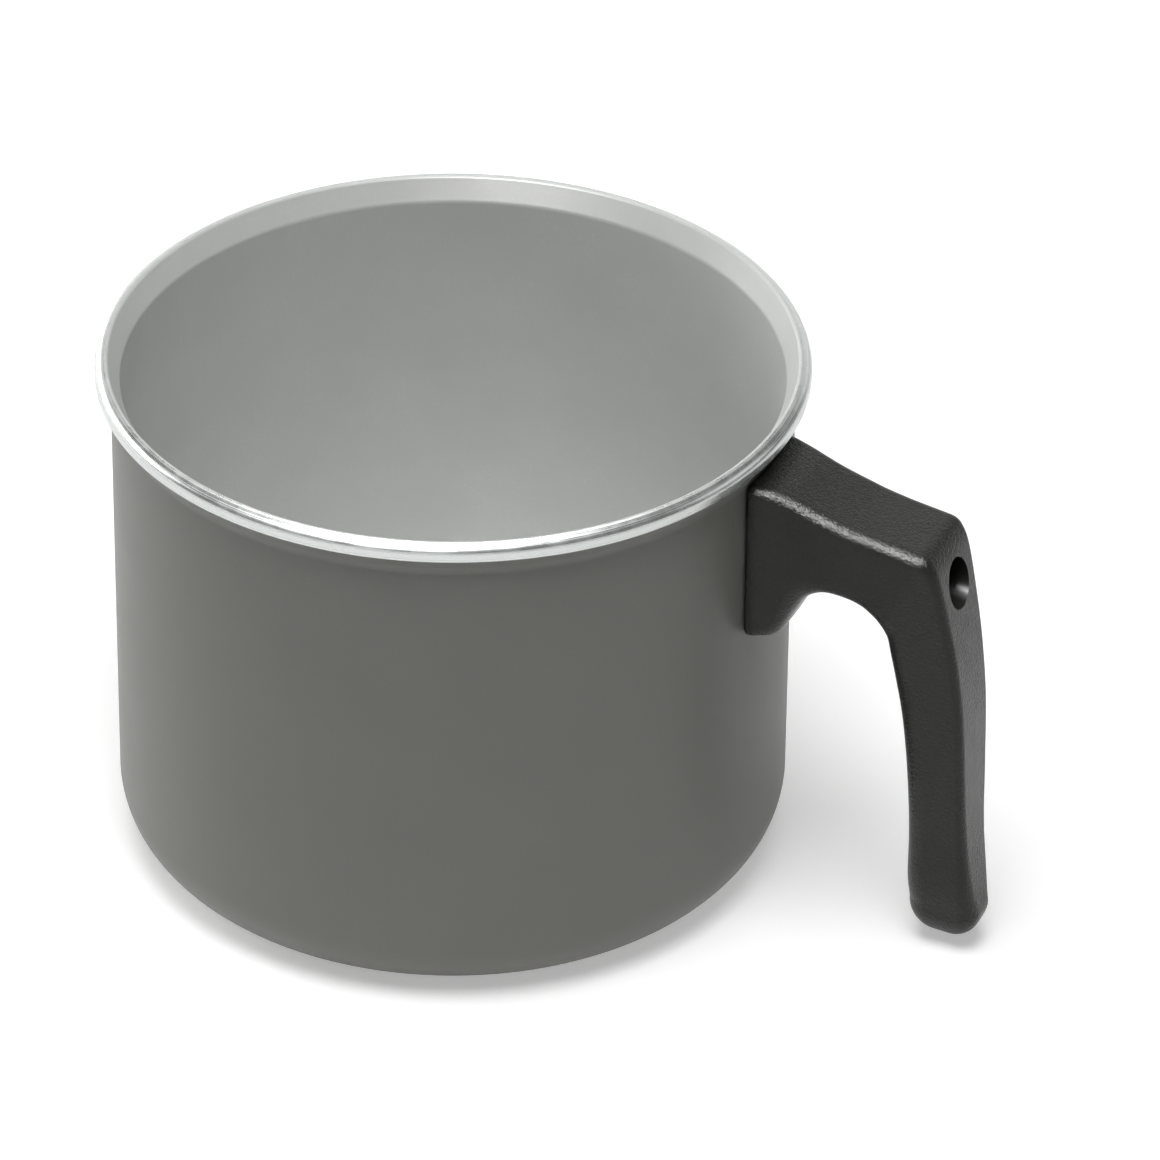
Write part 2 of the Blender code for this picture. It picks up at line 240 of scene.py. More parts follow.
@dataclass(frozen=True)
class SprayedCoating:
    """A sprayed and baked coating: faint clouds, fine flecks and the skin of an orange."""

    name: str
    colour: Colour
    roughness: float
    peel_size: float
    peel_depth: float
    # How much lighter the flecks are, and how far the clouds stray either way, as shares.
    flecks: float
    clouds: float = 0.02
    cloud_size: float = 0.018
    cloud_roughness: float = 0.03
    fleck_size: float = 0.00035
    # The part of the noise over which a fleck brightens.
    fleck_range: tuple[float, float] = (0.55, 0.80)

    def material(self) -> Material:
        """The coating's material."""
        graph = Graph(bpy.data.materials.new(self.name))
        where = graph.place()
        cloud = graph.noise(where, self.cloud_size, detail=3.0)
        fleck = graph.noise(where, self.fleck_size, detail=1.0)
        # The clouds take the lower half of the colours' range, and the flecks the upper half.
        half = 0.5
        strength = graph.spread(fleck, 0.0, half, *self.fleck_range)
        pattern = graph.maths("ADD", graph.spread(cloud, 0.0, half), strength)
        lightest = 1 + self.clouds + self.flecks
        stops = ((0.0, 1 - self.clouds), (half, 1 + self.clouds), (1.0, lightest))
        colour = graph.tint(pattern, [(at, shaded(self.colour, share)) for at, share in stops])
        skin = graph.noise(where, self.peel_size, rough=0.6)
        return graph.finish(
            base_color=colour,
            roughness=graph.stray(cloud, self.roughness, self.cloud_roughness),
            normal=graph.relief(skin, self.peel_depth),
        )


@dataclass(frozen=True)
class TurnedAluminium:
    """Bare aluminium from the lathe, with fine rings round the pot's axis."""

    name: str
    colour: Colour
    roughness: float
    ring_pitch: float = 0.00035
    ring_depth: float = 0.000004
    ring_shade: float = 0.82
    ring_roughness: float = 0.06
    blotch_size: float = 0.006
    blotch_roughness: float = 0.04

    def material(self) -> Material:
        """The metal's material, whose rings follow the radius and the height."""
        graph = Graph(bpy.data.materials.new(self.name))
        where = graph.place()
        flat = graph.add("ShaderNodeVectorMath", {0: where, 1: (1, 1, 0)}, operation="MULTIPLY")
        radius = graph.add("ShaderNodeVectorMath", {0: flat.outputs[0]}, operation="LENGTH")
        height = graph.add("ShaderNodeSeparateXYZ", {0: where}).outputs["Z"]
        along = graph.add("ShaderNodeCombineXYZ", {0: radius.outputs["Value"], 1: height})
        rings = graph.noise(along.outputs[0], self.ring_pitch, detail=3.0, rough=0.7)
        blotch = graph.noise(where, self.blotch_size, detail=3.0)
        ring_part = graph.stray(rings, self.roughness, self.ring_roughness)
        blotch_part = graph.stray(blotch, 0.0, self.blotch_roughness)
        return graph.finish(
            base_color=graph.mottle(rings, self.colour, self.ring_shade, 1.0),
            metallic=1.0,
            roughness=graph.maths("ADD", ring_part, blotch_part),
            normal=graph.relief(rings, self.ring_depth),
        )


@dataclass(frozen=True)
class GrainedPhenolic:
    """Black thermosetting plastic from a mould with an eroded, finely pebbled face."""

    name: str
    colour: Colour
    roughness: float
    grain_size: float = 0.00050
    grain_depth: float = 0.00021
    grain_shades: tuple[float, float] = (0.85, 1.15)
    pebble_share: float = 1.6
    pebble_rise: float = 0.25
    pebble_edge: float = 0.7
    wave_size: float = 0.004
    wave_depth: float = 0.00003
    wave_roughness: float = 0.03
    shine: float = 0.26

    def material(self) -> Material:
        """The plastic's material."""
        graph = Graph(bpy.data.materials.new(self.name))
        where = graph.place()
        wave = graph.noise(where, self.wave_size)
        grain = graph.noise(where, self.grain_size, detail=3.0, rough=0.65)
        pebble = graph.cells(where, self.grain_size * self.pebble_share)
        domes = graph.spread(pebble, self.pebble_rise, 0.0, 0.0, self.pebble_edge)
        height = graph.maths("ADD", grain, domes)
        low = graph.relief(wave, self.wave_depth)
        return graph.finish(
            base_color=graph.mottle(grain, self.colour, *self.grain_shades),
            roughness=graph.stray(wave, self.roughness, self.wave_roughness),
            specular_ior_level=self.shine,
            normal=graph.relief(height, self.grain_depth, low),
        )


@dataclass(frozen=True)
class PatternedMetal:
    """Metal with a fine pattern: the bloom of zinc plate, or the long lines of rolled sheet."""

    name: str
    colour: Colour
    roughness: float
    grain_size: float
    grain_length: float
    fineness: float
    # What the pattern adds to the roughness, and its shares of the colour, at its low and high end.
    strays: tuple[float, float]
    shades: tuple[float, float] = (0.85, 1.05)

    def material(self) -> Material:
        """The metal's material."""
        graph = Graph(bpy.data.materials.new(self.name))
        scale = (1, 1, self.grain_size / self.grain_length)
        drawn = graph.add("ShaderNodeMapping", {"Vector": graph.place(), "Scale": scale})
        where = drawn.outputs["Vector"]
        grain = graph.noise(where, self.grain_size, detail=3.0, rough=self.fineness)
        least, most = (self.roughness + stray for stray in self.strays)
        return graph.finish(
            base_color=graph.mottle(grain, self.colour, *self.shades),
            metallic=1.0,
            roughness=graph.spread(grain, least, most),
        )


OUTER_COATING = SprayedCoating(
    name="outer_coating",
    colour=(0.162, 0.161, 0.148),
    roughness=0.48,
    peel_size=0.0006,
    peel_depth=0.00001,
    flecks=0.10,
)
INNER_COATING = SprayedCoating(
    name="inner_coating",
    colour=(0.595, 0.605, 0.592),
    roughness=0.42,
    peel_size=0.0007,
    peel_depth=0.00002,
    flecks=0.14,
)
TURNED_EDGE = TurnedAluminium(
    name="turned_edge", colour=(0.63, 0.65, 0.64), roughness=0.28, ring_depth=0.0000012
)
TURNED_BASE = TurnedAluminium(name="turned_base", colour=(0.66, 0.66, 0.66), roughness=0.34)
BLACK_PHENOLIC = GrainedPhenolic(
    name="black_phenolic", colour=(0.0150, 0.0165, 0.0135), roughness=0.24
)
BORE_PHENOLIC = GrainedPhenolic(
    name="bore_phenolic",
    colour=(0.016, 0.016, 0.015),
    roughness=0.34,
    grain_depth=0.00001,
    shine=0.12,
)
ZINC_PLATE = PatternedMetal(
    name="zinc_plate",
    colour=(0.64, 0.66, 0.68),
    roughness=0.28,
    grain_size=0.0006,
    grain_length=0.0006,
    fineness=0.5,
    strays=(-0.06, 0.08),
)
BRACKET_SHEET = PatternedMetal(
    name="bracket_sheet",
    colour=(0.76, 0.76, 0.77),
    roughness=0.36,
    grain_size=0.0004,
    grain_length=0.012,
    fineness=0.6,
    strays=(-0.05, 0.08),
)


class Workpiece:
    """One piece on the bench, shaped in edit mode and finished with modifiers."""

    def __init__(self, name: str, add: Callable[..., set[str]], **settings: object) -> None:
        """Adds a primitive on its own, and opens it in edit mode with all of it picked.

        Args:
            name: The piece's name.
            add: The operator that adds the primitive.
            **settings: The operator's own settings.
        """
        bpy.ops.object.select_all(action="DESELECT")
        add(**settings)
        self.item = bpy.context.object
        self.item.name = name
        self.item.data.name = name
        bpy.ops.object.transform_apply()
        self.open()
        bpy.ops.mesh.select_all(action="SELECT")

    def open(self) -> None:
        """Opens the piece in edit mode."""
        bpy.context.view_layer.objects.active = self.item
        self.item.select_set(True)
        bpy.ops.object.mode_set(mode="EDIT")

    def close(self) -> None:
        """Leaves edit mode."""
        bpy.ops.object.mode_set(mode="OBJECT")

    def shape(self) -> bmesh.types.BMesh:
        """The mesh that is open in edit mode."""
        return bmesh.from_edit_mesh(self.item.data)

    def pick(self, part: Part, wanted: Callable[[Edge | Face], bool]) -> None:
        """Picks the edges or the faces that pass a test, and nothing else.

        Args:
            part: Which of the two.
            wanted: The test.
        """
        bpy.ops.mesh.select_mode(type=part.name)
        bpy.ops.mesh.select_all(action="DESELECT")
        for element in getattr(self.shape(), part.value):
            if wanted(element):
                element.select_set(True)
        bmesh.update_edit_mesh(self.item.data)

    def stretch(self, factors: Sequence[float], centre: Sequence[float]) -> None:
        """Scales what is picked about a centre."""
        bpy.ops.transform.resize(value=tuple(factors), center_override=tuple(centre))

    def slide(self, way: Sequence[float]) -> None:
        """Moves what is picked."""
        bpy.ops.transform.translate(value=tuple(way))

    def turn(self, angle: float, axis: Axis, centre: Sequence[float]) -> None:
        """Turns what is picked about a centre, counter-clockwise when seen from the axis's tip."""
        bpy.ops.transform.rotate(
            value=-angle, orient_axis=axis.value, center_override=tuple(centre)
        )

    def outward(self) -> None:
        """Merges doubles and makes all the faces point outwards."""
        bpy.ops.mesh.select_all(action="SELECT")
        bpy.ops.mesh.remove_doubles(threshold=MERGE_DISTANCE)
        bpy.ops.mesh.normals_make_consistent(inside=False)

    def settle(self, name: str, kind: str, **settings: object) -> None:
        """Adds a modifier and applies it.

        Args:
            name: The modifier's name.
            kind: Its Blender type.
            **settings: The modifier's own settings.
        """
        bpy.context.view_layer.objects.active = self.item
        modifier = self.item.modifiers.new(name, kind)
        for field, value in settings.items():
            setattr(modifier, field, value)
        bpy.ops.object.modifier_apply(modifier=modifier.name)

    def cut(self, tool: "Workpiece") -> None:
        """Cuts another piece out of this one and throws that piece away."""
        self.settle("cut", "BOOLEAN", operation="DIFFERENCE", solver="EXACT", object=tool.item)
        bpy.data.objects.remove(tool.item)

    def smooth(self) -> None:
        """Shades the piece smooth, but for its sharp edges, and keeps its flat faces flat."""
        bpy.ops.object.select_all(action="DESELECT")
        self.item.select_set(True)
        bpy.context.view_layer.objects.active = self.item
        bpy.ops.object.shade_smooth_by_angle(angle=SHARP_ANGLE)
        self.settle("flat_faces", "WEIGHTED_NORMAL", keep_sharp=True)

    def dress(self, *materials: Material) -> None:
        """Gives the piece its materials in the order of their slots."""
        for material in materials:
            self.item.data.materials.append(material)

    def paint(self, number: int, wanted: Callable[[Face], bool]) -> None:
        """Gives the faces that pass a test the material of one slot.

        Args:
            number: The slot's number.
            wanted: The test.
        """
        self.pick(Part.FACE, wanted)
        self.item.active_material_index = number
        bpy.ops.object.material_slot_assign()


@dataclass(frozen=True)
class Corner:
    """One corner of a turned profile.

    Attributes:
        radius: Its distance from the axis.
        height: Its height.
        rounding: The radius that rounds it, or 0.
        segments: The number of facets in the rounding.
    """

    radius: float
    height: float
    rounding: float = 0.0
    segments: int = 8

    def point(self) -> Vector:
        """The corner's place in the profile's plane."""
        return Vector((self.radius, self.height))

    def trim(self, before: "Corner", after: "Corner") -> float:
        """How far the rounding reaches from this corner towards the ones before and after it."""
        angle = (before.point() - self.point()).angle(after.point() - self.point())
        return self.rounding / math.tan(angle / 2)

    def holds(self, edge: Edge) -> bool:
        """Whether an edge lies on this corner's ring.

        Args:
            edge: The edge.

        Returns:
            True if it does.
        """
        return all(
            abs(math.hypot(vertex.co.x, vertex.co.y) - self.radius) < SAME_PLACE
            and abs(vertex.co.z - self.height) < SAME_PLACE
            for vertex in edge.verts
        )


def turn_up(name: str, corners: Sequence[Corner], facets: int) -> Workpiece:
    """Turns a closed piece: a disc whose edge is drawn from corner to corner and filled at the end.

    Args:
        name: The piece's name.
        corners: The profile's corners, from the first face's edge to the last one's.
        facets: The number of facets round the axis.

    Returns:
        The piece, open in edit mode.
    """
    first = corners[0]
    piece = Workpiece(
        name,
        bpy.ops.mesh.primitive_circle_add,
        vertices=facets,
        radius=first.radius,
        fill_type="TRIFAN",
        location=(0, 0, first.height),
    )
    bpy.ops.mesh.region_to_loop()
    for before, corner in zip(corners, corners[1:]):
        bpy.ops.mesh.extrude_edges_move()
        piece.slide((0, 0, corner.height - before.height))
        share = corner.radius / before.radius
        piece.stretch((share, share, 1), (0, 0, corner.height))
    bpy.ops.mesh.edge_face_add()
    bpy.ops.mesh.poke()
    for before, corner, after in zip(corners, corners[1:], corners[2:]):
        if corner.rounding:
            piece.pick(Part.EDGE, corner.holds)
            bpy.ops.mesh.bevel(offset=corner.trim(before, after), segments=corner.segments)
    piece.outward()
    return piece


@dataclass
class PotBody:
    """The pressed pot: its base, wall, flared lip and turned edge."""

    wall_radius: float = 0.0701
    wall_thickness: float = 0.0020
    floor_thickness: float = 0.0030
    base_corner_radius: float = 0.0149
    height: float = 0.1137
    lip_overhang: float = 0.0032
    outer_flare_depth: float = 0.0072
    inner_flare_depth: float = 0.0048
    outer_bend_radius: float = 0.0040
    inner_bend_radius: float = 0.0018
    rim_edge_height: float = 0.0034
    rim_land: float = 0.0026
    rim_top_radius: float = 0.0021
    rim_lower_radius: float = 0.0006
    rim_inner_radius: float = 0.0008
    base_dish: float = 0.0005
    groove_width: float = 0.0016
    groove_depth: float = 0.0003
    groove_pitch: float = 0.0075
    groove_count: int = 6
    # A groove's corners, as shares of its width from its middle and of its depth.
    groove_shares: tuple[tuple[float, float], ...] = ((-0.5, 0), (-0.3, 1), (0.3, 1), (0.5, 0))
    coated_base_edge: float = 0.0030
    # Rings that keep faces short, as shares of the base corner's radius and of the inner radius.
    outer_ring_share: float = 1.1
    inner_ring_share: float = 1.3
    floor_ring_shares: tuple[float, ...] = (0.6, 0.2)
    # A face whose normal rises more than this looks up, and belongs to the inside.
    upward: float = 0.5
    base_segments: int = 24
    roll_segments: int = 10
    facets: int = 256

    def underside(self) -> list[Corner]:
        """The corners of the underside: a shallow dish with turned grooves, and a flat ring."""
        corners = []
        dish_edge = self.groove_pitch * (self.groove_count + 0.5)
        for number in range(1, self.groove_count + 1):
            middle = self.groove_pitch * number
            level = self.base_dish * (1 - middle / dish_edge)
            for side, lift in self.groove_shares:
                corners.append(
                    Corner(middle + side * self.groove_width, level + lift * self.groove_depth)
                )
        return [*corners, Corner(dish_edge, 0), Corner(self.bare_base_radius(), 0)]

    def bare_base_radius(self) -> float:
        """The radius of the underside's bare part."""
        return self.wall_radius - self.base_corner_radius - self.coated_base_edge

    def profile(self) -> list[Corner]:
        """The corners of the whole profile, from the underside up over the rim to the floor."""
        rim = self.wall_radius + self.lip_overhang
        inner = self.wall_radius - self.wall_thickness
        wall_top = self.height - self.outer_flare_depth
        inner_top = self.height - self.inner_flare_depth
        inner_rounding = self.base_corner_radius - self.wall_thickness
        return [
            *self.underside(),
            Corner(self.wall_radius, 0, self.base_corner_radius, self.base_segments),
            Corner(self.wall_radius, self.base_corner_radius * self.outer_ring_share),
            Corner(self.wall_radius, self.height / 2),
            Corner(self.wall_radius, wall_top - self.outer_bend_radius),
            Corner(self.wall_radius, wall_top, self.outer_bend_radius),
            Corner(rim, self.height - self.rim_edge_height, self.rim_lower_radius),
            Corner(rim, self.height, self.rim_top_radius, self.roll_segments),
            Corner(rim - self.rim_land, self.height, self.rim_inner_radius),
            Corner(inner, inner_top, self.inner_bend_radius),
            Corner(inner, inner_top - self.inner_bend_radius * 2),
            Corner(inner, self.height / 2),
            Corner(inner, self.base_corner_radius * self.inner_ring_share),
            Corner(inner, self.floor_thickness, inner_rounding, self.base_segments),
            *(Corner(inner * share, self.floor_thickness) for share in self.floor_ring_shares),
        ]

    def finish_of(self, face: Face) -> SprayedCoating | TurnedAluminium:
        """The finish of a face. The lip's roll and the base were turned after the coating.

        Args:
            face: The face.

        Returns:
            Its finish.
        """
        middle = face.calc_center_median()
        radius = math.hypot(middle.x, middle.y)
        roll_start = self.wall_radius + self.lip_overhang - self.rim_top_radius
        roll_foot = self.height - self.rim_edge_height - self.rim_lower_radius / 4
        if radius > roll_start and middle.z >= roll_foot:
            return TURNED_EDGE
        if radius < self.bare_base_radius() and middle.z < self.floor_thickness / 2:
            return TURNED_BASE
        inward = face.normal.x * middle.x + face.normal.y * middle.y < -SAME_PLACE
        above = middle.z > self.floor_thickness - SAME_PLACE
        inside = above and (inward or face.normal.z > self.upward)
        return INNER_COATING if inside else OUTER_COATING

    def build(self) -> bpy.types.Object:
        """Turns the pot and coats it.

        Returns:
            The finished piece.
        """
        piece = turn_up("pot", self.profile(), self.facets)
        finishes = (OUTER_COATING, INNER_COATING, TURNED_EDGE, TURNED_BASE)
        piece.dress(*(finish.material() for finish in finishes))
        for number, finish in enumerate(finishes):
            piece.paint(number, lambda face: self.finish_of(face) is finish)
        piece.close()
        piece.smooth()
        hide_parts("pot_body")
        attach(piece.item, "root")
        return piece.item


def upright(point: Vector) -> Vector:
    """A point or a way on the handle's middle plane, given as (x, z), brought into space."""
    return Vector((point.x, 0, point.y))


@dataclass(frozen=True)
class Station:
    """One section across the handle, from its outer line to its inner line.

    Attributes:
        outer: The outer line's point, as (x, z).
        inner: The inner line's point, as (x, z).
        half_width: Half the section's width.
        inner_radius: The radius of its inner edges.
        outer_radius: The radius of its outer edges.
        inset: How far the section is drawn in from its full size.
    """

    outer: Vector
    inner: Vector
    half_width: float
    inner_radius: float
    outer_radius: float
    inset: float = 0.0

    def across(self) -> Vector:
        """The way from the inner line to the outer one."""
        return (self.outer - self.inner).normalized()

    def length(self) -> float:
        """The section's size from line to line."""
        return (self.outer - self.inner).length - 2 * self.inset

    def width(self) -> float:
        """The section's size from side to side."""
        return 2 * (self.half_width - self.inset)

    def middle(self) -> Vector:
        """The section's middle in space."""
        return upright((self.outer + self.inner) / 2)

    def tilt(self) -> float:
        """How far the section's long way is turned down from +X about Y."""
        return math.atan2(-self.across().y, self.across().x)

    def edge(self, radius: float, most_share: float) -> float:
        """The edge radius here, which takes at most a share of the section's smaller size."""
        most = most_share * min(self.width(), self.length())
        return min(max(radius - self.inset, TOUCH_GAP), most)

    def lay(self, piece: Workpiece) -> None:
        """Brings what is picked, a unit square on the XY plane, to this section.

        Args:
            piece: The handle.
        """
        piece.stretch((self.length(), self.width(), 1), ORIGIN)
        piece.turn(self.tilt(), Axis.ACROSS, ORIGIN)
        piece.slide(self.middle())

    def lift(self, piece: Workpiece) -> None:
        """Brings what is picked from this section back to the unit square.

        Args:
            piece: The handle.
        """
        piece.slide(-self.middle())
        piece.turn(-self.tilt(), Axis.ACROSS, ORIGIN)
        piece.stretch((1 / self.length(), 1 / self.width(), 1), ORIGIN)


@dataclass
class Handle:
    """The moulded handle: its root on the wall, its sloping arm, its grip and its screw hole."""

    wall_radius: float = 0.0701
    top: float = 0.1067
    height: float = 0.1045
    reach: float = 0.0500
    full_width: float = 0.0210
    outer_edge_radius: float = 0.0017
    inner_edge_radius: float = 0.0045
    root_edge_radius: float = 0.0009
    end_length: float = 0.0073
    end_fullness_share: float = 0.95
    wrap_reach: float = 0.0165
    most_edge_share: float = 0.45
    steps: int = 5
    end_steps: int = 12
    # How much of a step the round end stops short of its tip.
    end_remainder: float = 0.3
    root_steps: int = 4
    socket_steps: int = 16
    columns: int = 2
    score_count: int = 12
    edge_segments: int = 8
    hole_facets: int = 96
    bore_radius: float = 0.0050
    bore_tilt: float = math.radians(12)
    bore_reach_share: float = 0.832
    bore_drop_share: float = 0.200
    clamped_thickness: float = 0.0060
    plate_thickness: float = 0.0020
    plate_width: float = 0.0140
    plate_height: float = 0.0160
    boss_radius: float = 0.0048
    boss_length: float = 0.0090
    shank_radius: float = 0.0025
    # Rows of outer reach and drop, inner reach and drop, width, inner and outer edge radius.
    station_shares: tuple[tuple[float, ...], ...] = (
        (0.041, 0.010, 0.041, 0.382, 1.100, 0.25, 1.00),
        (0.126, 0.019, 0.120, 0.375, 1.035, 1.00, 1.40),
        (0.190, 0.030, 0.169, 0.328, 1.008, 1.00, 1.50),
        (0.259, 0.043, 0.224, 0.279, 1.000, 1.20, 1.50),
        (0.339, 0.056, 0.302, 0.252, 1.000, 0.95, 1.50),
        (0.439, 0.070, 0.390, 0.251, 0.990, 1.00, 1.50),
        (0.558, 0.082, 0.468, 0.262, 0.980, 1.00, 1.50),
        (0.679, 0.092, 0.528, 0.284, 0.980, 1.00, 1.50),
        (0.742, 0.099, 0.556, 0.301, 0.980, 1.00, 1.50),
        (0.777, 0.116, 0.569, 0.315, 0.960, 1.00, 1.40),
        (0.808, 0.153, 0.579, 0.332, 0.930, 1.00, 1.30),
        (0.847, 0.241, 0.589, 0.372, 0.870, 1.00, 1.20),
        (0.890, 0.361, 0.609, 0.438, 0.790, 1.00, 1.10),
        (0.921, 0.500, 0.638, 0.532, 0.740, 1.00, 1.00),
        (0.935, 0.655, 0.661, 0.666, 0.690, 1.15, 1.00),
        (0.949, 0.814, 0.674, 0.820, 0.630, 1.15, 1.10),
        (0.976, 0.936, 0.674, 0.936, 0.615, 1.15, 1.70),
        (1.000, 1.005, 0.682, 0.995, 0.550, 1.15, 3.00),
    )

    def seat_radius(self) -> float:
        """The radius of the handle's seat, just clear of the wall."""
        return self.wall_radius + TOUCH_GAP

    def place(self, reach_share: float, drop_share: float) -> Vector:
        """The point, as (x, z), at a share of the reach and of the drop to the round end."""
        drop = (self.height - self.end_length) * drop_share
        return Vector((self.wall_radius + self.reach * reach_share, self.top - drop))

    def smooth_track(self, knots: Sequence[Vector]) -> list[Vector]:
        """Points on a smooth curve that goes through knots, each along its neighbours' line.

        Args:
            knots: The points that the curve goes through.

        Returns:
            The knots with the points between them.
        """
        # A tangent is half the way between the neighbours, and a handle a third of the tangent.
        ends = [2 * knots[0] - knots[1], *knots, 2 * knots[-1] - knots[-2]]
        points: list[Vector] = []
        for before, start, finish, after in zip(ends, ends[1:], ends[2:], ends[3:]):
            leave = start + (finish - before) / 6
            arrive = finish - (after - start) / 6
            points += interpolate_bezier(start, leave, arrive, finish, self.steps + 1)[:-1]
        return [*points, knots[-1]]

    def stations(self) -> list[Station]:
        """The sections from the root's seat to the start of the grip's round end."""
        full = (self.full_width / 2, self.inner_edge_radius, self.outer_edge_radius)
        rows = self.station_shares
        knots = (
            [self.place(*row[:2]) for row in rows],
            [self.place(*row[2:4]) for row in rows],
            [Vector([size * share for size, share in zip(full, row[4:])]) for row in rows],
        )
        tracks = zip(*(self.smooth_track(track) for track in knots))
        body = [Station(outer, inner, *sizes) for outer, inner, sizes in tracks]
        return self.root_stations(body[0], body[1]) + body

    def root_stations(self, first: Station, second: Station) -> list[Station]:
        """The sections that round the root's edge off at its seat.

        Args:
            first: The body's first section.
            second: The one after it.

        Returns:
            The root's sections, from the seat outwards.
        """
        slope = (second.outer - first.outer) / (second.outer.x - first.outer.x)
        made = []
        for step in range(self.root_steps + 1):
            angle = math.pi / 2 * step / self.root_steps
            radius = self.seat_radius() + self.root_edge_radius * (1 - math.cos(angle))
            outer = first.outer + slope * (radius - first.outer.x)
            inner = Vector((radius, first.inner.y))
            inset = self.root_edge_radius * (1 - math.sin(angle))
            made.append(replace(first, outer=outer, inner=inner, inset=inset))
        return made

    def widest_edge(self) -> float:
        """The largest edge radius of all the sections."""
        return max(max(station.inner_radius, station.outer_radius) for station in self.stations())

    def draw_out(self) -> Workpiece:
        """Draws the handle's square skin out from section to section.

        Returns:
            The skin, open in edit mode, with the weight of each long edge set.
        """
        stations = self.stations()
        widest = self.widest_edge()
        add = bpy.ops.mesh.primitive_grid_add
        piece = Workpiece("grip", add, x_subdivisions=1, y_subdivisions=self.columns, size=1)
        bpy.ops.mesh.select_mode(type="FACE")
        stations[0].lay(piece)
        for before, station in zip(stations, stations[1:]):
            bpy.ops.mesh.extrude_region_move()
            before.lift(piece)
            station.lay(piece)
            self.weigh(piece, station, widest)
        return piece

    def weigh(self, piece: Workpiece, station: Station, widest: float) -> None:
        """Sets the weight of the four long edges that lead to the picked section.

        Args:
            piece: The handle.
            station: The section.
            widest: The edge radius that a weight of 1 stands for.
        """
        shape = piece.shape()
        layer = shape.edges.layers.float.get("bevel_weight_edge")
        if layer is None:
            layer = shape.edges.layers.float.new("bevel_weight_edge")
        outer, inner = upright(station.outer), upright(station.inner)
        side = station.width() / 2 - SAME_PLACE
        for vertex in [v for v in shape.verts if v.select and abs(v.co.y) > side]:
            on_outer = (vertex.co - outer).length < (vertex.co - inner).length
            full = station.outer_radius if on_outer else station.inner_radius
            radius = station.edge(full, self.most_edge_share)
            for edge in vertex.link_edges:
                if not edge.other_vert(vertex).select:
                    edge[layer] = radius / widest
        bmesh.update_edit_mesh(piece.item.data)

    def close_end(self, piece: Workpiece) -> None:
        """Draws the grip's round end out of its last section.

        Args:
            piece: The handle.
        """
        last = self.stations()[-1]
        middle = last.middle()
        along = upright(last.across()).cross(Vector((0, 1, 0)))
        sink = along * -math.copysign(self.end_length, along.z)
        piece.pick(
            Part.FACE,
            lambda face: all(
                abs((vertex.co - middle).dot(along)) < SAME_PLACE for vertex in face.verts
            ),
        )
        depth, size = 0.0, 1.0
        for step in range(1, self.end_steps + 1):
            angle = math.pi / 2 * step / (self.end_steps + self.end_remainder)
            bpy.ops.mesh.extrude_region_move()
            sunk = math.sin(angle) ** self.end_fullness_share
            shrunk = math.cos(angle) ** self.end_fullness_share
            piece.slide(sink * (sunk - depth))
            share = shrunk / size
            piece.stretch((share, share, share), middle + sink * sunk)
            depth, size = sunk, shrunk
        bpy.ops.mesh.merge(type="CENTER")

    def score(self, piece: Workpiece) -> None:
        """Cuts lengthwise lines into the root, so that it bends smoothly.

        Args:
            piece: The handle, open in edit mode.
        """
        limit = self.seat_radius() + self.wrap_reach
        for number in range(1, self.score_count):
            side = self.full_width * (number / self.score_count - 0.5)
            piece.pick(Part.FACE, lambda face: min(corner.co.x for corner in face.verts) < limit)
            bpy.ops.mesh.bisect(plane_co=(0, side, 0), plane_no=(0, 1, 0))

    def wrap(self, piece: Workpiece) -> None:
        """Bends the root round the pot, less and less along the arm.

        Args:
            piece: The handle.
        """
        for vertex in piece.item.data.vertices:
            x, y, _ = vertex.co
            share = 1 - (x - self.seat_radius() - self.root_edge_radius) / self.wrap_reach
            bent = math.sqrt(x**2 - y**2)
            vertex.co.x += (bent - x) * min(max(share, 0), 1)

    def bore_frame(self) -> Matrix:
        """The frame at the bore's mouth, whose +Z looks inward along the screw."""
        mouth = upright(self.place(self.bore_reach_share, self.bore_drop_share))
        return Matrix.Translation(mouth) @ Matrix.Rotation(self.bore_tilt - math.pi / 2, 4, "Y")

    def depth_at(self, radius: float) -> float:
        """How far inward from the bore's mouth the screw's axis meets a radius of the pot."""
        return (self.bore_frame().translation.x - radius) / math.cos(self.bore_tilt)

    def boss_end(self) -> float:
        """How far inward from the mouth the bracket's boss begins."""
        return self.depth_at(self.seat_radius() + self.plate_thickness) - self.boss_length

    def bore_floor(self) -> float:
        """How far inward from the mouth the bore's floor lies."""
        return self.boss_end() - TOUCH_GAP - self.clamped_thickness

    def drill(self, piece: Workpiece, radius: float, start: float, finish: float) -> None:
        """Drills a hole on the screw's axis.

        Args:
            piece: The handle.
            radius: The hole's radius.
            start: Where it starts, measured inward from the bore's mouth.
            finish: Where it ends.
        """
        frame_here = self.bore_frame() @ Matrix.Translation((0, 0, (start + finish) / 2))
        tool = Workpiece(
            "drill",
            bpy.ops.mesh.primitive_cylinder_add,
            vertices=self.hole_facets,
            radius=radius,
            depth=finish - start,
            location=frame_here.translation,
            rotation=frame_here.to_euler(),
        )
        tool.close()
        piece.cut(tool)

